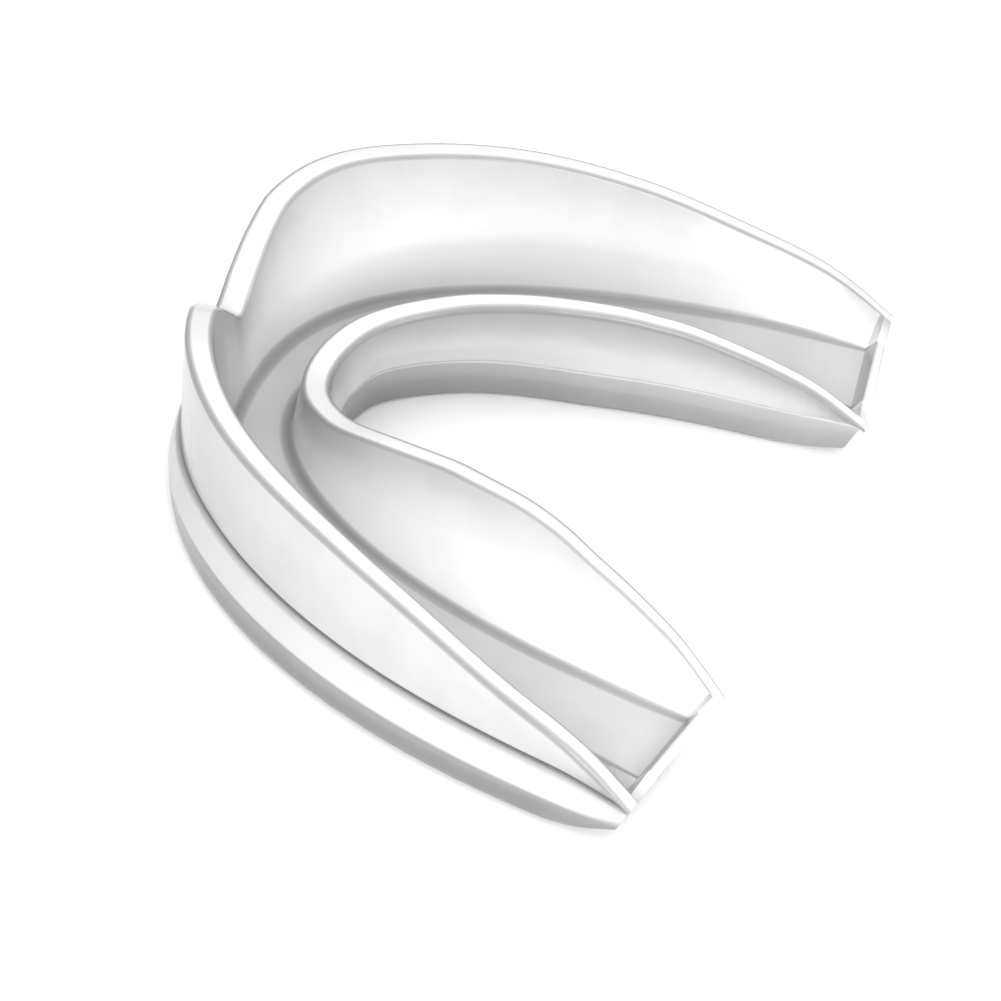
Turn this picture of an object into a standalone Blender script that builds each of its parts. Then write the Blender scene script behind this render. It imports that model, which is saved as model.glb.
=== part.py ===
"""Clear boil-and-bite mouthguard for an upper dental arch, in two bonded layers.

A firm bite base forms the sole and the bumper band round the outside. A softer fit tray sits in
it: a tall outer flange with a notch for the lip's frenum, the channel that the teeth bite into,
and a lower inner flange that leans over the tongue. X runs across the arch, -Y is the front of
the mouth, +Z points up from the sole. Dimensions are in millimetres until a mesh is made.
"""
import bmesh
import bpy
import numpy as np

MM = 0.001

# Overall size. Depths along the arch are counted from the front of the bumper band.
LENGTH = 51.7
BOND_GAP = 0.3

# Plan curves of one arm, as superellipses: half width, front, reach and squareness.
PLAN_LENGTH = 48.4
BAND_PLAN = (31.8, 0.0, 48.5, 2.16)
RIM_PLAN = (34.8, 2.3, 117.5, 2.82)
OUTER_FLOOR_PLAN = (29.1, 4.8, 74.0, 2.4)
INNER_FLOOR_PLAN = (20.1, 9.1, 43.6, 2.05)

# The molar ends are cut on a slant: the outer flange stops short of the inner one.
END_SLANT = 0.165
END_SLANT_FROM = 16.8
END_REACH = 11.0

# Profiles along one arm: (fraction of its length from the midline, value).
OUTER_RIM_HEIGHT = ((0, 11.5), (0.04, 13.7), (0.08, 16.0), (0.13, 17.9), (0.2, 18.3), (0.35, 17.4),
                    (0.5, 16.4), (0.65, 14.5), (0.8, 11.5), (0.9, 9.2), (1, 5.0))
INNER_RIM_HEIGHT = ((0, 9.6), (0.2, 10.8), (0.35, 12.5), (0.5, 13.5), (0.6, 13.6), (0.7, 13.1),
                    (0.8, 11.7), (0.9, 9.3), (1, 5.0))
INNER_RIM_LEAN = ((0, 1.7), (0.1, 1.7), (0.2, 2.2), (0.3, 3.3), (0.4, 4.4), (0.5, 5.2), (0.65, 5.6),
                  (0.8, 4.9), (1, 2.6))
OUTER_RIM_THICKNESS = ((0, 2.5), (0.15, 2.2), (0.35, 2.0), (0.7, 1.65), (1, 1.5))
INNER_RIM_THICKNESS = ((0, 2.3), (0.5, 1.9), (1, 1.35))
TONGUE_WALL = ((0, 3.2), (0.1, 2.4), (0.2, 1.4), (0.35, 1.5), (0.6, 2.3), (0.85, 2.2), (1, 1.4))
GROOVE_HEIGHT = ((0, 5.2), (0.35, 7.3), (0.7, 6.6), (0.9, 5.8), (1, 4.2))
FLOOR_HEIGHT = ((0, 4.7), (0.8, 4.7), (1, 4.2))
SOLE_LIFT = ((0, 0.0), (0.9, 0.0), (0.95, 0.5), (1, 2.0))
TONGUE_LIFT_SHARE = 0.3

# Section of the base.
CUP_HEIGHT = 2.0
CUP_END_RISE = 0.45
SEAM_HEIGHT = 3.9
CURB_WIDTH = 0.6
LAP_WIDTH = 0.6
GROOVE_DEPTH = 0.8
SOLE_CHAMFER = 0.8
# The bumper's outline from the groove down to the sole: depth behind its front, share of its height.
BAND_SECTION = ((GROOVE_DEPTH, 1.0), (0.45, 0.95), (0.1, 0.78), (0.0, 0.5), (0.4, 0.13), (1.6, 0.0))

# Section of the tray.
FLOOR_FILLET = 0.8
LIP_DROP = 0.2
LIP_START = 0.983
RIM_ROUND = 0.8

# Cross-sections along one arm, closer together at the frenum notch and at the molar end's lip.
ARM_FRACTIONS = [0, 0.01, 0.02, 0.035, 0.055, 0.08, 0.11, *np.linspace(0.15, 0.95, 21), 0.966, 0.983, 1.0]
PLAN_SAMPLES = 600


def profile(points, fraction):
    """Reads a profile on a smooth curve, level at the midline, that never overshoots its points."""
    stops, values = np.array(points, dtype=float).T
    secants = np.diff(values) / np.diff(stops)
    slopes = [0.0]
    for left, right in zip(secants, secants[1:]):
        slopes.append(2 * left * right / (left + right) if left * right > 0 else 0.0)
    slopes.append(secants[-1])
    index = min(int(np.searchsorted(stops, fraction, side="right")) - 1, len(secants) - 1)
    span = stops[index + 1] - stops[index]
    t = (fraction - stops[index]) / span
    rise = (3 - 2 * t) * t * t * secants[index]
    start = slopes[index] * t * (1 - t) ** 2
    end = slopes[index + 1] * t * t * (1 - t)
    return float(values[index] + span * (rise + start - end))


def plan_point(plan, fraction):
    """Point and tongue-side normal of a plan curve, at a fraction of its length."""
    half_width, front, reach, squareness = plan
    power = 2 / squareness
    end = np.arccos((1 - (PLAN_LENGTH - front) / reach) ** (1 / power))
    angle = np.linspace(0, end, PLAN_SAMPLES)
    x = half_width * np.sin(angle) ** power
    y = front + reach * (1 - np.cos(angle) ** power)
    length = np.concatenate([[0], np.cumsum(np.hypot(np.diff(x), np.diff(y)))])
    length /= length[-1]
    step = 0.01
    before, after = max(fraction - step, 0), min(fraction + step, 1)
    tangent_x = np.interp(after, length, x) - np.interp(before, length, x)
    tangent_y = np.interp(after, length, y) - np.interp(before, length, y)
    if fraction == 0:
        tangent_y = 0.0
    size = np.hypot(tangent_x, tangent_y)
    point = np.array([np.interp(fraction, length, x), np.interp(fraction, length, y)])
    return point, np.array([-tangent_y, tangent_x]) / size


class Section:
    """The lines that both layers share at one fraction of the arm."""

    def __init__(self, fraction):
        self.band, self.band_normal = plan_point(BAND_PLAN, fraction)
        self.rim, self.rim_normal = plan_point(RIM_PLAN, fraction)
        self.outer_floor, self.outer_normal = plan_point(OUTER_FLOOR_PLAN, fraction)
        self.inner_floor, self.inner_normal = plan_point(INNER_FLOOR_PLAN, fraction)
        self.lift = profile(SOLE_LIFT, fraction)
        self.cup = CUP_HEIGHT + CUP_END_RISE * self.lift
        self.groove = profile(GROOVE_HEIGHT, fraction)
        self.tongue_wall = profile(TONGUE_WALL, fraction)

    def in_band(self, depth, height):
        return [*(self.band + depth * self.band_normal), height]

    def in_rim(self, depth, height):
        return [*(self.rim + depth * self.rim_normal), height]

    def in_outer_floor(self, depth, height):
        return [*(self.outer_floor + depth * self.outer_normal), height]

    def in_inner_floor(self, depth, height):
        return [*(self.inner_floor + depth * self.inner_normal), height]


def base_section(fraction):
    """Closed outline of the bite base: tongue edge, curb, cup, lap, bumper band, sole."""
    line = Section(fraction)
    wall = line.tongue_wall
    seam = SEAM_HEIGHT - BOND_GAP / 2
    tongue_lift = TONGUE_LIFT_SHARE * line.lift
    lap_top = line.groove - BOND_GAP / 2
    lap = GROOVE_DEPTH + LAP_WIDTH
    band = [line.in_band(depth, line.lift + share * (lap_top - line.lift)) for depth, share in BAND_SECTION]
    return [
        line.in_inner_floor(wall - SOLE_CHAMFER, tongue_lift),
        line.in_inner_floor(wall, tongue_lift + SOLE_CHAMFER),
        line.in_inner_floor(wall, seam),
        line.in_inner_floor(wall - CURB_WIDTH, seam),
        line.in_inner_floor(wall - CURB_WIDTH, line.cup),
        line.in_band(lap, line.cup),
        line.in_band(lap, lap_top),
        *band,
    ]


def tray_section(fraction):
    """Closed outline of the fit tray: outer flange, channel, inner flange, underside."""
    line = Section(fraction)
    bottom = line.cup + BOND_GAP
    lap = GROOVE_DEPTH + LAP_WIDTH + BOND_GAP
    ledge = line.groove + BOND_GAP / 2
    outer_rim = profile(OUTER_RIM_HEIGHT, fraction)
    inner_rim = profile(INNER_RIM_HEIGHT, fraction)
    outer_half = profile(OUTER_RIM_THICKNESS, fraction) / 2
    inner_thickness = profile(INNER_RIM_THICKNESS, fraction)
    lean = profile(INNER_RIM_LEAN, fraction)
    floor = profile(FLOOR_HEIGHT, fraction)
    if fraction >= LIP_START:
        floor = min(outer_rim, inner_rim) - LIP_DROP
    shoulder = min(floor + FLOOR_FILLET, min(outer_rim, inner_rim) - LIP_DROP / 2)
    round_outer = min(RIM_ROUND, outer_rim - shoulder - 0.1)
    round_inner = min(RIM_ROUND, inner_rim - shoulder - 0.1)
    return [
        line.in_band(lap, bottom),
        line.in_band(lap, ledge),
        line.in_band(GROOVE_DEPTH, ledge),
        line.in_rim(-outer_half, outer_rim - RIM_ROUND),
        line.in_rim(-0.5 * outer_half, outer_rim),
        line.in_rim(0.5 * outer_half, outer_rim),
        line.in_rim(outer_half, outer_rim - round_outer),
        line.in_outer_floor(0.0, shoulder),
        line.in_outer_floor(FLOOR_FILLET, floor),
        line.in_inner_floor(-FLOOR_FILLET, floor),
        line.in_inner_floor(0.0, shoulder),
        line.in_inner_floor(lean - 0.5 * inner_thickness, inner_rim - round_inner),
        line.in_inner_floor(lean - 0.25 * inner_thickness, inner_rim),
        line.in_inner_floor(lean + 0.25 * inner_thickness, inner_rim),
        line.in_inner_floor(lean + 0.5 * inner_thickness, inner_rim - RIM_ROUND),
        line.in_inner_floor(line.tongue_wall, SEAM_HEIGHT + BOND_GAP / 2),
        line.in_inner_floor(line.tongue_wall - CURB_WIDTH - BOND_GAP, SEAM_HEIGHT + BOND_GAP / 2),
        line.in_inner_floor(line.tongue_wall - CURB_WIDTH - BOND_GAP, bottom),
    ]


def slanted_depths(ring, fraction):
    """Depths of a ring's points, drawn out near the molar end so that its last ring lies on the slant."""
    end = LENGTH - END_SLANT * np.maximum(ring[:, 0] - END_SLANT_FROM, 0)
    if fraction == 1:
        return end
    share = np.clip((ring[:, 1] - PLAN_LENGTH + END_REACH) / END_REACH, 0, 1)
    return ring[:, 1] + (end - PLAN_LENGTH) * share ** 2


def whole_arch(section):
    """The section's rings from one molar end, round the front, to the other, in metres."""
    rings = []
    sides = [(-1, fraction) for fraction in reversed(ARM_FRACTIONS[1:])]
    sides += [(1, fraction) for fraction in ARM_FRACTIONS]
    for side, fraction in sides:
        ring = np.array(section(fraction))
        if fraction == 0:
            ring[:, 0] = 0.0
        ring[:, 1] = slanted_depths(ring, fraction)
        ring[:, 0] *= side
        ring[:, 1] -= LENGTH / 2
        rings.append(ring * MM)
    return rings


def loft(name, rings, material):
    """Extrudes the first ring from section to section and closes both molar ends."""
    mesh_maker = bmesh.new()
    verts = [mesh_maker.verts.new(point) for point in rings[0]]
    edges = [mesh_maker.edges.new(pair) for pair in zip(verts, verts[1:] + verts[:1])]
    first_edges = edges
    for ring in rings[1:]:
        made = bmesh.ops.extrude_edge_only(mesh_maker, edges=edges)["geom"]
        fresh = {item for item in made if isinstance(item, bmesh.types.BMVert)}
        verts = [next(edge.other_vert(vert) for edge in vert.link_edges
                      if edge.other_vert(vert) in fresh) for vert in verts]
        for vert, point in zip(verts, ring):
            vert.co = point
        edges = [item for item in made if isinstance(item, bmesh.types.BMEdge)
                 and fresh.issuperset(item.verts)]
    bmesh.ops.contextual_create(mesh_maker, geom=first_edges)
    bmesh.ops.contextual_create(mesh_maker, geom=edges)
    bmesh.ops.triangulate(mesh_maker, faces=mesh_maker.faces[:])
    bmesh.ops.recalc_face_normals(mesh_maker, faces=mesh_maker.faces[:])
    mesh = bpy.data.meshes.new(name)
    mesh_maker.to_mesh(mesh)
    mesh_maker.free()
    mesh.shade_smooth()
    mesh.set_sharp_from_angle(angle=np.radians(40))
    mesh.materials.append(material)
    part = bpy.data.objects.new(name, mesh)
    bpy.context.scene.collection.objects.link(part)
    return part


def clear_eva(name, colour, roughness):
    """Clear ethylene-vinyl acetate, firm or soft grade."""
    material = bpy.data.materials.new(name)
    material.use_nodes = True
    shader = material.node_tree.nodes["Principled BSDF"]
    shader.inputs["Base Color"].default_value = (*colour, 1)
    shader.inputs["Metallic"].default_value = 0.0
    shader.inputs["Roughness"].default_value = roughness
    shader.inputs["IOR"].default_value = 1.49
    shader.inputs["Transmission Weight"].default_value = 0.85
    return material


def main():
    for leftover in list(bpy.data.objects):
        bpy.data.objects.remove(leftover)
    firm = clear_eva("firm_clear_eva", (0.86, 0.88, 0.89), 0.22)
    soft = clear_eva("soft_clear_eva", (0.93, 0.94, 0.95), 0.16)
    loft("bite_base", whole_arch(base_section), firm)
    loft("fit_tray", whole_arch(tray_section), soft)


main()
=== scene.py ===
"""Looks of a clear boil-and-bite mouthguard: a firm EVA bite base and a soft EVA fit tray."""

import math

import bmesh
import bpy
import numpy as np
from mathutils import Matrix, Vector


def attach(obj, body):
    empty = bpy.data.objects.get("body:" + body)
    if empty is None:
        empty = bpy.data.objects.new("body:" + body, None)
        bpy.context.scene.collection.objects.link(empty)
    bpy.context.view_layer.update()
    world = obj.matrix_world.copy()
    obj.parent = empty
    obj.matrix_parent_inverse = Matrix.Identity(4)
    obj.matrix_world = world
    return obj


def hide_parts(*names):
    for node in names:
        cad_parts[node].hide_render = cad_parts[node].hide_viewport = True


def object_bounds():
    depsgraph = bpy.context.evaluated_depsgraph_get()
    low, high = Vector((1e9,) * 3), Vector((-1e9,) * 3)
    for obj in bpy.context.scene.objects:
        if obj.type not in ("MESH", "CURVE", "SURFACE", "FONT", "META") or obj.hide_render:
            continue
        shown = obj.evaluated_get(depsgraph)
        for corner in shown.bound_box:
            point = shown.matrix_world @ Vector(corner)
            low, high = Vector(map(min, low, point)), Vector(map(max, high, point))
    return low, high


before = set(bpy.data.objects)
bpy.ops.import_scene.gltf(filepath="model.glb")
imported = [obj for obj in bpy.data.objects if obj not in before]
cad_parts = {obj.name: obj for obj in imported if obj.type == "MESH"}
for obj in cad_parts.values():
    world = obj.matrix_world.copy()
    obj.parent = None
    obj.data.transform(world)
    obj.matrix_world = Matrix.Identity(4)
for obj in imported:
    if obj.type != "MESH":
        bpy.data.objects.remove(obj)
cad_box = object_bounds()

MM = 0.001

# ---------------------------------------------------------------- sizes, in millimetres
# The overall length and the front come from the frame. The plan curves and the profiles repeat the
# CAD's own values. The seam, the lips, the roundings and the molar ends are drawn finer here.
guard_low, guard_high = cad_box
LENGTH = (guard_high.y - guard_low.y) / MM
FRONT = guard_low.y / MM

# Plan curves of one arm, as superellipses: half width, front, reach and squareness.
PLAN_LENGTH = 48.4
BAND_PLAN = (31.8, 0.0, 48.5, 2.16)
RIM_PLAN = (34.8, 2.3, 117.5, 2.82)
OUTER_FLOOR_PLAN = (29.1, 4.8, 74.0, 2.4)
INNER_FLOOR_PLAN = (20.1, 9.1, 43.6, 2.05)

# The molar ends are cut on a slant: the outer flange stops short of the inner one.
END_SLANT = 0.165
END_SLANT_FROM = 16.8
END_REACH = 11.0

# Profiles along one arm: (fraction of its length from the midline, value).
OUTER_RIM_HEIGHT = ((0, 11.5), (0.04, 13.7), (0.08, 16.0), (0.13, 17.9), (0.2, 18.3), (0.35, 17.4),
                    (0.5, 16.4), (0.65, 14.5), (0.8, 11.5), (0.9, 9.2), (1, 5.0))
INNER_RIM_HEIGHT = ((0, 9.6), (0.2, 10.8), (0.35, 12.5), (0.5, 13.5), (0.6, 13.6), (0.7, 13.1),
                    (0.8, 11.7), (0.9, 9.3), (1, 5.0))
INNER_RIM_LEAN = ((0, 1.7), (0.1, 1.7), (0.2, 2.2), (0.3, 3.3), (0.4, 4.4), (0.5, 5.2), (0.65, 5.6),
                  (0.8, 4.9), (1, 2.6))
OUTER_RIM_THICKNESS = ((0, 2.5), (0.15, 2.2), (0.35, 2.0), (0.7, 1.65), (1, 1.5))
INNER_RIM_THICKNESS = ((0, 2.3), (0.5, 1.9), (1, 1.35))
TONGUE_WALL = ((0, 3.2), (0.1, 2.4), (0.2, 1.4), (0.35, 1.5), (0.6, 2.3), (0.85, 2.2), (1, 1.4))
GROOVE_HEIGHT = ((0, 5.2), (0.35, 7.3), (0.7, 6.6), (0.9, 5.8), (1, 4.2))
FLOOR_HEIGHT = ((0, 4.7), (0.8, 4.7), (1, 4.2))
SOLE_LIFT = ((0, 0.0), (0.9, 0.0), (0.95, 0.5), (1, 2.0))
TONGUE_LIFT_SHARE = 0.3

SEAM_HEIGHT = 3.9
SEAM_GAP = 0.1
CUP_HEIGHT = 2.0
CUP_END_RISE = 0.45
CURB_WIDTH = 0.6
LAP_WIDTH = 0.6
GROOVE_DEPTH = 0.8
BAND_INSET = 0.4
BAND_BULGE = 0.55
FLOOR_FILLET = 1.1
LIP_FILLET = 0.2
LIP_DROP = 0.05
LIP_START = 0.984
END_UNDERCUT = 0.4
END_TOP = 5.0
END_BEVEL = 0.35

# Rings of the loft: close together round the front, evenly along the arm, and a few on the lip.
FRONT_SHARE = 0.18
FRONT_RINGS = 20
FRONT_CROWDING = 1.4
ARM_RINGS = 50
ARM_END = LIP_START - 0.012
LIP_RINGS = (LIP_START - 0.004, LIP_START + 0.002, 0.990, 0.995, 1.0)

# Steps round a corner, and the most that its curve takes of each side.
ROUND_STEPS = 6
CORNER_SHARE = 0.46

# How finely a plan curve is read, the share of the arm over which its normal is read, and the
# angle in degrees past which an edge stays sharp.
PLAN_SAMPLES = 900
NORMAL_STEP = 0.01
SHARP_ANGLE = 50

# ---------------------------------------------------------------- finish of the clear EVA, with painted shade
# Painted shade carried on the mesh: 0 on bright walls, 1 in the shaded fillets and on the dark outlines
# along edges.
# The channel floor, the dark line in its fillets and the molar-end lip (a dark fillet, a bright top, a
# grey outline) have their own amounts.
FLOOR_PAINTED_SHADE = 0.5
FLOOR_PAINTED_LINE = 0.8
LIP_PAINTED_SHADE = ((0, 0.5), (LIP_START, 0.9), (0.989, 0.3), (0.993, 0.0), (1, 0.7))
# The body colour at each amount of painted shade, the two ends of the scale first, and the grey
# that multiplies it as painted shade where a wall is seen edge-on.
PAINTED_SHADE_RAMP = ((0.0, "#f8f8f8"), (1.0, "#969798"), (0.3, "#e2e2e2"), (0.6, "#bebebf"))
EDGE_PAINTED_SHADE = "#6e6f70"
# Clouds in the haze and ripple in the skin: size, and how far they change the tone or the surface.
CLOUD_SIZE = 5.0 * MM
CLOUD_TONE = 0.025
RIPPLE_SIZE = 2.2 * MM
RIPPLE_DEPTH = 0.05 * MM


# ---------------------------------------------------------------- shape of the arch
def profile(points, fraction):
    """Reads a profile on a smooth curve, level at the midline, that never overshoots its points."""
    stops, values = np.array(points, dtype=float).T
    secants = np.diff(values) / np.diff(stops)
    slopes = [0.0]
    for left, right in zip(secants, secants[1:]):
        slopes.append(2 * left * right / (left + right) if left * right > 0 else 0.0)
    slopes.append(secants[-1])
    index = min(int(np.searchsorted(stops, fraction, side="right")) - 1, len(secants) - 1)
    span = stops[index + 1] - stops[index]
    t = (fraction - stops[index]) / span
    rise = (3 - 2 * t) * t * t * secants[index]
    start = slopes[index] * t * (1 - t) ** 2
    end = slopes[index + 1] * t * t * (1 - t)
    return float(values[index] + span * (rise + start - end))


def plan_point(plan, fraction):
    """Point and tongue-side normal of a plan curve, at a fraction of its length."""
    half_width, front, reach, squareness = plan
    power = 2 / squareness
    end = np.arccos((1 - (PLAN_LENGTH - front) / reach) ** (1 / power))
    angle = np.linspace(0, end, PLAN_SAMPLES)
    x = half_width * np.sin(angle) ** power
    y = front + reach * (1 - np.cos(angle) ** power)
    length = np.concatenate([[0], np.cumsum(np.hypot(np.diff(x), np.diff(y)))])
    length /= length[-1]
    before, after = max(fraction - NORMAL_STEP, 0), min(fraction + NORMAL_STEP, 1)
    tangent_x = np.interp(after, length, x) - np.interp(before, length, x)
    tangent_y = np.interp(after, length, y) - np.interp(before, length, y)
    tangent_y *= min(1.0, fraction / NORMAL_STEP)
    size = np.hypot(tangent_x, tangent_y)
    point = np.array([np.interp(fraction, length, x), np.interp(fraction, length, y)])
    return point, np.array([-tangent_y, tangent_x]) / size


class Section:
    """The lines that both layers share at one fraction of the arm."""

    def __init__(self, fraction):
        self.band = plan_point(BAND_PLAN, fraction)
        self.rim = plan_point(RIM_PLAN, fraction)
        self.outer_floor = plan_point(OUTER_FLOOR_PLAN, fraction)
        self.inner_floor = plan_point(INNER_FLOOR_PLAN, fraction)
        self.lift = profile(SOLE_LIFT, fraction)
        self.cup = CUP_HEIGHT + CUP_END_RISE * self.lift
        self.groove = profile(GROOVE_HEIGHT, fraction)
        self.tongue_wall = profile(TONGUE_WALL, fraction)

    def at(self, line, depth, height):
        """A point at a depth to the tongue side of one of the section's plan lines."""
        point, normal = line
        return Vector((*(point + depth * normal), height))


def corner(place, radius=0.0, before=0.0, after=None, line=0.0):
    """A corner, its rounding radius, the painted shade of the faces before and after it and the painted
    dark line along its edge.
    """
    return place, radius, before, before if after is None else after, line


def base_outline(fraction):
    """Corners of the bite base, from the sole's tongue side up, over the cup and down the band."""
    line = Section(fraction)
    wall = line.tongue_wall
    seam = SEAM_HEIGHT - SEAM_GAP / 2
    lap_top = line.groove - SEAM_GAP / 2
    lap = GROOVE_DEPTH + LAP_WIDTH
    tall = lap_top - line.lift
    # Each corner also carries painted shade: the grey tongue side of the base and the dark underside of
    # the band.
    return [
        corner(line.at(line.inner_floor, wall, TONGUE_LIFT_SHARE * line.lift),
               radius=0.9, before=0.5, after=0.8),
        corner(line.at(line.inner_floor, wall, seam), radius=0.2, before=0.6, after=0.0),
        corner(line.at(line.inner_floor, wall - CURB_WIDTH, seam)),
        corner(line.at(line.inner_floor, wall - CURB_WIDTH, line.cup)),
        corner(line.at(line.band, lap, line.cup)),
        corner(line.at(line.band, lap, lap_top), before=0.9),
        corner(line.at(line.band, BAND_INSET, lap_top), radius=0.8, before=0.9, after=0.3),
        corner(line.at(line.band, 0.0, line.lift + BAND_BULGE * tall),
               radius=1.2, before=0.25, after=0.9),
        corner(line.at(line.band, BAND_INSET, line.lift), radius=1.9, before=1.0, after=0.6),
    ]


def tray_outline(fraction):
    """Corners of the fit tray, from its underside over the outer flange, channel and inner flange."""
    line = Section(fraction)
    bottom = line.cup + SEAM_GAP
    lap = GROOVE_DEPTH + LAP_WIDTH + SEAM_GAP
    ledge = line.groove + SEAM_GAP / 2
    outer_rim = profile(OUTER_RIM_HEIGHT, fraction)
    inner_rim = profile(INNER_RIM_HEIGHT, fraction)
    outer_half = profile(OUTER_RIM_THICKNESS, fraction) / 2
    inner_half = profile(INNER_RIM_THICKNESS, fraction) / 2
    lean = profile(INNER_RIM_LEAN, fraction)
    floor = profile(FLOOR_HEIGHT, fraction)
    # Painted shade of the channel floor and a painted dark line in its fillets; on the molar-end lip, the
    # lip's own painted shade and no line.
    floor_painted_shade, fillet, fillet_painted_line = FLOOR_PAINTED_SHADE, FLOOR_FILLET, FLOOR_PAINTED_LINE
    if fraction >= LIP_START:
        floor = min(outer_rim, inner_rim) - LIP_DROP
        floor_painted_shade, fillet, fillet_painted_line = profile(LIP_PAINTED_SHADE, fraction), LIP_FILLET, 0.0
    seam = SEAM_HEIGHT + SEAM_GAP / 2
    curb = line.tongue_wall - CURB_WIDTH - SEAM_GAP
    # Each corner also carries painted shade: wall tops grey fading to white lower down, and painted dark
    # outlines along the rims and the groove.
    return [
        corner(line.at(line.band, lap, bottom)),
        corner(line.at(line.band, lap, ledge), before=0.6),
        corner(line.at(line.band, GROOVE_DEPTH, ledge), radius=0.6, before=0.9, after=0.5, line=0.3),
        corner(line.at(line.rim, -outer_half, outer_rim),
               radius=0.55, before=0.45, after=0.24, line=0.75),
        corner(line.at(line.rim, outer_half, outer_rim),
               radius=0.45, before=0.24, after=0.6, line=0.55),
        corner(line.at(line.outer_floor, 0.0, floor),
               radius=fillet, before=0.0, after=floor_painted_shade, line=fillet_painted_line),
        corner(line.at(line.inner_floor, 0.0, floor),
               radius=fillet, before=floor_painted_shade, after=0.0, line=fillet_painted_line),
        corner(line.at(line.inner_floor, lean - inner_half, inner_rim),
               radius=0.45, before=0.9 - 0.5 * fraction, after=0.12, line=0.6),
        corner(line.at(line.inner_floor, lean + inner_half, inner_rim),
               radius=0.55, before=0.12, after=0.8, line=0.75),
        corner(line.at(line.inner_floor, line.tongue_wall, seam), radius=0.2),
        corner(line.at(line.inner_floor, curb, seam)),
        corner(line.at(line.inner_floor, curb, bottom)),
    ]


def rounded(outline):
    """Points and painted shade of an outline, each corner with a radius drawn as a smooth curve."""
    points, painted_shades = [], []
    for index, (place, radius, before, after, line) in enumerate(outline):
        if radius == 0:
            points.append(place)
            painted_shades.append(before)
            continue
        back = outline[index - 1][0] - place
        ahead = outline[(index + 1) % len(outline)][0] - place
        half_angle = back.angle(ahead) / 2
        reach = min(radius / math.tan(half_angle), CORNER_SHARE * back.length, CORNER_SHARE * ahead.length)
        start = place + reach * back.normalized()
        end = place + reach * ahead.normalized()
        for step in range(ROUND_STEPS + 1):
            t = step / ROUND_STEPS
            points.append(start * (1 - t) ** 2 + 2 * place * t * (1 - t) + end * t * t)
            # The painted shade blends from face to face round the corner, with a painted dark line along
            # its edge.
            painted_shades.append(before * (1 - t) + after * t + line * math.sqrt(1 - abs(2 * t - 1)))
    return np.array(points), painted_shades


def slanted_depths(ring, fraction):
    """Depths of a ring's points, drawn out near the molar end so that its last ring lies on the slant."""
    end = LENGTH - END_SLANT * np.maximum(ring[:, 0] - END_SLANT_FROM, 0)
    end -= END_UNDERCUT * (END_TOP - ring[:, 2])
    if fraction == 1:
        return end
    share = np.clip((ring[:, 1] - PLAN_LENGTH + END_REACH) / END_REACH, 0, 1)
    return ring[:, 1] + (end - PLAN_LENGTH) * share ** 2


def whole_arch(outline):
    """Rings in metres, with their painted shade, from one molar end round the front to the other."""
    front = [FRONT_SHARE * (step / FRONT_RINGS) ** FRONT_CROWDING for step in range(FRONT_RINGS)]
    arm = [FRONT_SHARE + (ARM_END - FRONT_SHARE) * step / ARM_RINGS for step in range(ARM_RINGS + 1)]
    fractions = front + arm + list(LIP_RINGS)
    sides = [(-1, fraction) for fraction in reversed(fractions[1:])]
    sides += [(1, fraction) for fraction in fractions]
    arch = []
    for side, fraction in sides:
        ring, painted_shades = rounded(outline(fraction))
        if fraction == 0:
            ring[:, 0] = 0.0
        ring[:, 1] = slanted_depths(ring, fraction)
        ring[:, 0] *= side
        ring[:, 1] += FRONT
        arch.append((ring * MM, painted_shades))
    return arch


def loft(name, arch):
    """Extrudes the first ring from section to section and closes both molar ends."""
    mesh_maker = bmesh.new()
    # Each vertex carries the painted shade of its ring.
    painted_shade_layer = mesh_maker.verts.layers.float.new("painted_shade")
    verts = [mesh_maker.verts.new(point) for point in arch[0][0]]
    edges = [mesh_maker.edges.new(pair) for pair in zip(verts, verts[1:] + verts[:1])]
    first_edges = edges
    for vert, painted_shade in zip(verts, arch[0][1]):
        vert[painted_shade_layer] = painted_shade
    for ring, painted_shades in arch[1:]:
        made = bmesh.ops.extrude_edge_only(mesh_maker, edges=edges)["geom"]
        fresh = {item for item in made if isinstance(item, bmesh.types.BMVert)}
        verts = [next(edge.other_vert(vert) for edge in vert.link_edges
                      if edge.other_vert(vert) in fresh) for vert in verts]
        for vert, point, painted_shade in zip(verts, ring, painted_shades):
            vert.co = point
            vert[painted_shade_layer] = painted_shade
        edges = [item for item in made if isinstance(item, bmesh.types.BMEdge)
                 and fresh.issuperset(item.verts)]
    caps = bmesh.ops.contextual_create(mesh_maker, geom=first_edges)["faces"]
    caps += bmesh.ops.contextual_create(mesh_maker, geom=edges)["faces"]
    end_edges = [edge for cap in caps for edge in cap.edges]
    bmesh.ops.bevel(mesh_maker, geom=end_edges, offset=END_BEVEL * MM, offset_type="OFFSET",
                    segments=3, profile=0.5, affect="EDGES", clamp_overlap=True, material=-1)
    bmesh.ops.recalc_face_normals(mesh_maker, faces=mesh_maker.faces[:])
    mesh = bpy.data.meshes.new(name)
    mesh_maker.to_mesh(mesh)
    mesh_maker.free()
    mesh.shade_smooth()
    mesh.set_sharp_from_angle(angle=math.radians(SHARP_ANGLE))
    piece = bpy.data.objects.new(name, mesh)
    bpy.context.scene.collection.objects.link(piece)
    return piece


# ---------------------------------------------------------------- materials
def linear(code):
    """Linear RGBA of an sRGB hex colour."""
    channels = [int(code[i:i + 2], 16) / 255 for i in (1, 3, 5)]
    return [c / 12.92 if c <= 0.04045 else ((c + 0.055) / 1.055) ** 2.4 for c in channels] + [1.0]


def add_node(material, kind, settings=None, links=None):
    """Adds a node, sets its properties and inputs, and links other nodes' outputs to its inputs."""
    node = material.node_tree.nodes.new(kind)
    for name, value in (settings or {}).items():
        if isinstance(name, int) or name in node.inputs:
            node.inputs[name].default_value = value
        else:
            setattr(node, name, value)
    for name, output in (links or {}).items():
        material.node_tree.links.new(output, node.inputs[name])
    return node


def new_material(name):
    """An empty node material."""
    material = bpy.data.materials.new(name)
    material.use_nodes = True
    material.node_tree.nodes.clear()
    return material


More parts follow.
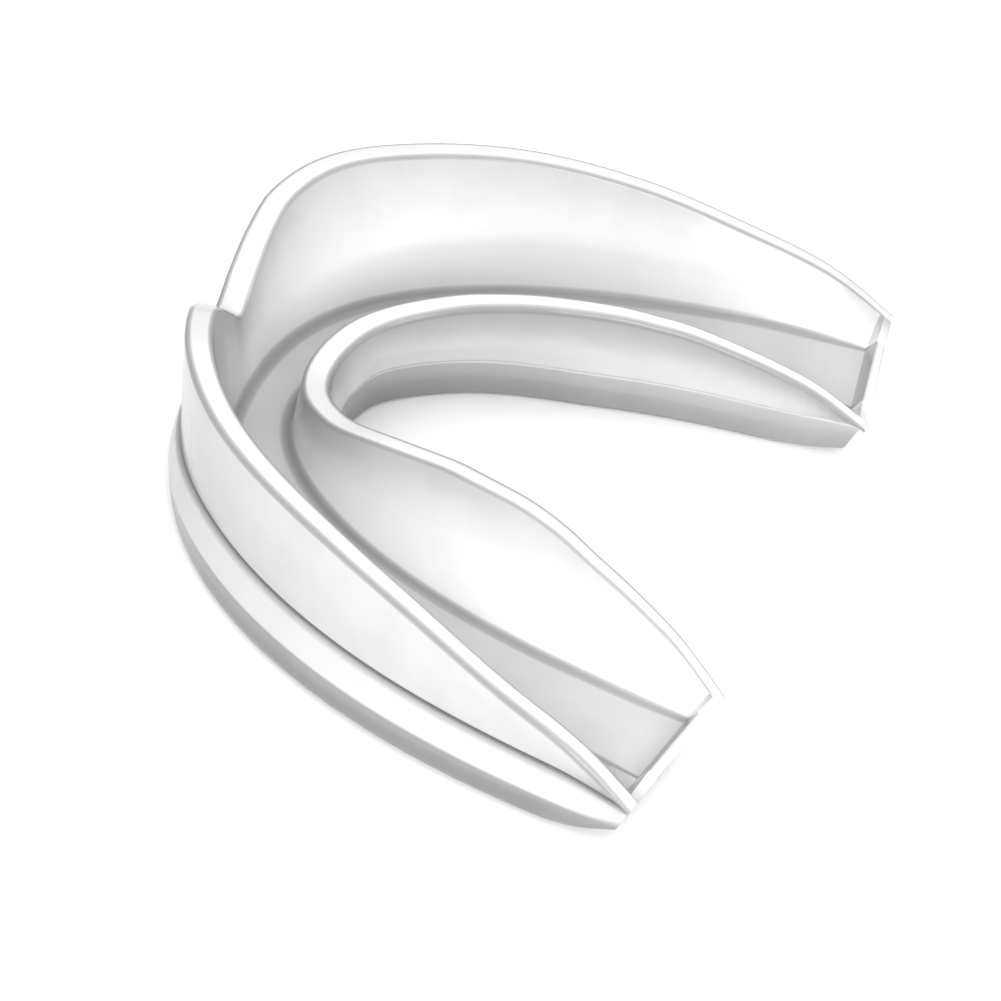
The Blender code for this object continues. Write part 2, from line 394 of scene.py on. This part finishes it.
def clear_eva(name, clarity, gloss):
    """Moulded ethylene-vinyl acetate: water-clear in thin walls, milky where it is thick.

    The copolymer's IOR is 1.48. The mould leaves a smooth skin, so a coat gives crisp highlights over
    a body whose haze scatters the light. The painted_shade attribute of the mesh paints shade into the
    body colour: grey tops of walls fading to white below, dark fillets and undersides, dark outlines.
    Faint clouds a few millimetres across are the uneven haze of the moulding, and the shallow ripple
    in the skin is the flow of the soft copolymer against the mould. Where a wall is seen edge-on, the
    body colour is multiplied by a grey: painted shade that follows the angle of view.
    """
    material = new_material(name)
    painted_shade = add_node(material, "ShaderNodeAttribute", {"attribute_name": "painted_shade"})
    place = add_node(material, "ShaderNodeTexCoord")
    clouding = add_node(
        material, "ShaderNodeTexNoise", {"Scale": 1 / CLOUD_SIZE, "Detail": 3.0, "Roughness": 0.5},
        {"Vector": place.outputs["Object"]})
    clouded = add_node(
        material, "ShaderNodeMapRange",
        {"From Min": 0.35, "From Max": 0.65, "To Min": -CLOUD_TONE, "To Max": CLOUD_TONE},
        {"Value": clouding.outputs["Fac"]})
    # Painted shade from the mesh, plus the random clouds of the haze.
    depth = add_node(material, "ShaderNodeMath", {"operation": "ADD"},
                     {0: painted_shade.outputs["Fac"], 1: clouded.outputs["Result"]})
    body = add_node(material, "ShaderNodeValToRGB", None, {"Fac": depth.outputs[0]})
    ramp = body.color_ramp
    for index, (position, code) in enumerate(PAINTED_SHADE_RAMP):
        stop = ramp.elements[index] if index < 2 else ramp.elements.new(position)
        stop.position = position
        stop.color = linear(code)
    # Painted shade at edges seen edge-on: the body colour is multiplied by a grey as the wall turns away
    # from the view.
    edge = add_node(material, "ShaderNodeLayerWeight", {"Blend": 0.3})
    turned = add_node(material, "ShaderNodeMath", {"operation": "POWER", 1: 2.0},
                      {0: edge.outputs["Facing"]})
    edge_painted_shade = add_node(
        material, "ShaderNodeMix",
        {"data_type": "RGBA", "blend_type": "MULTIPLY", 7: linear(EDGE_PAINTED_SHADE)},
        {"Factor": turned.outputs[0], 6: body.outputs["Color"]})
    ripple = add_node(material, "ShaderNodeTexNoise", {"Scale": 1 / RIPPLE_SIZE, "Detail": 2.0},
                      {"Vector": place.outputs["Object"]})
    skin = add_node(material, "ShaderNodeBump", {"Strength": 0.12, "Distance": RIPPLE_DEPTH},
                    {"Height": ripple.outputs["Fac"]})
    shader = add_node(
        material, "ShaderNodeBsdfPrincipled",
        {"Roughness": gloss, "IOR": 1.48, "Transmission Weight": clarity, "Specular IOR Level": 0.3,
         "Coat Weight": 0.12, "Coat Roughness": 0.08, "Coat IOR": 1.5},
        {"Base Color": edge_painted_shade.outputs[2], "Normal": skin.outputs["Normal"],
         "Coat Normal": skin.outputs["Normal"]})
    add_node(material, "ShaderNodeOutputMaterial", None, {"Surface": shader.outputs["BSDF"]})
    return material


def studio_paper(name):
    """Matt white background paper."""
    material = new_material(name)
    shader = add_node(
        material, "ShaderNodeBsdfPrincipled",
        {"Base Color": linear("#efefef"), "Roughness": 0.9, "Specular IOR Level": 0.2})
    add_node(material, "ShaderNodeOutputMaterial", None, {"Surface": shader.outputs["BSDF"]})
    return material


# ---------------------------------------------------------------- the guard
base = loft("bite_base_shell", whole_arch(base_outline))
base.data.materials.append(clear_eva("firm_clear_eva", clarity=0.45, gloss=0.22))
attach(base, "root")
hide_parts("bite_base")

tray = loft("fit_tray_shell", whole_arch(tray_outline))
tray.data.materials.append(clear_eva("soft_clear_eva", clarity=0.35, gloss=0.2))
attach(tray, "root")
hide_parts("fit_tray")


# ---------------------------------------------------------------- studio
def make_floor(half_width):
    """Background paper under the guard."""
    sheet = bmesh.new()
    bmesh.ops.create_grid(sheet, x_segments=1, y_segments=1, size=half_width)
    mesh = bpy.data.meshes.new("studio_floor")
    sheet.to_mesh(mesh)
    sheet.free()
    mesh.materials.append(studio_paper("white_paper"))
    floor = bpy.data.objects.new("studio_floor", mesh)
    bpy.context.scene.collection.objects.link(floor)


def make_softbox(name, place, size, power):
    """A round softbox aimed at the guard."""
    lamp = bpy.data.lights.new(name, "AREA")
    lamp.shape = "DISK"
    lamp.size = size
    lamp.energy = power
    lamp_object = bpy.data.objects.new(name, lamp)
    lamp_object.location = place
    lamp_object.rotation_euler = (-Vector(place)).to_track_quat("-Z", "Y").to_euler()
    bpy.context.scene.collection.objects.link(lamp_object)


def make_world(shade, strength):
    """Even light from all round."""
    world = bpy.data.worlds.new("studio_world")
    world.use_nodes = True
    background = world.node_tree.nodes["Background"]
    background.inputs["Color"].default_value = linear(shade)
    background.inputs["Strength"].default_value = strength
    bpy.context.scene.world = world


def make_camera(azimuth, elevation, roll, distance, lens, pivot, drop, across):
    """A camera round the pivot, aimed a little below it and across from it."""
    azimuth, elevation, roll = (math.radians(value) for value in (azimuth, elevation, roll))
    back = Vector((math.sin(azimuth) * math.cos(elevation), -math.cos(azimuth) * math.cos(elevation),
                   math.sin(elevation)))
    right = Vector((math.cos(azimuth), math.sin(azimuth), 0))
    up = back.cross(right)
    rolled_up = math.cos(roll) * up - math.sin(roll) * right
    place = Vector(pivot) + distance * back
    aim = Vector(pivot) - drop * rolled_up + across * rolled_up.cross(back)
    back = (place - aim).normalized()
    right = rolled_up.cross(back).normalized()
    up = back.cross(right)
    lens_data = bpy.data.cameras.new("camera")
    lens_data.lens = lens
    lens_data.clip_start = 0.01
    camera = bpy.data.objects.new("camera", lens_data)
    camera.matrix_world = Matrix.Translation(place) @ Matrix((right, up, back)).transposed().to_4x4()
    bpy.context.scene.collection.objects.link(camera)
    bpy.context.scene.camera = camera


make_floor(half_width=1.5)
make_world("#fafafa", strength=1.24)
make_softbox("top_softbox", place=(0.0, 0.0, 0.6), size=0.7, power=1.9)
make_softbox("side_softbox", place=(0.5, 0.25, 0.25), size=0.4, power=3.5)
make_camera(azimuth=106.2, elevation=42.27, roll=7.35, distance=0.47, lens=211.6,
            pivot=(0.0, 0.0001, 0.00564), drop=0.0036, across=0.00036)
bpy.context.scene.view_settings.view_transform = "Standard"
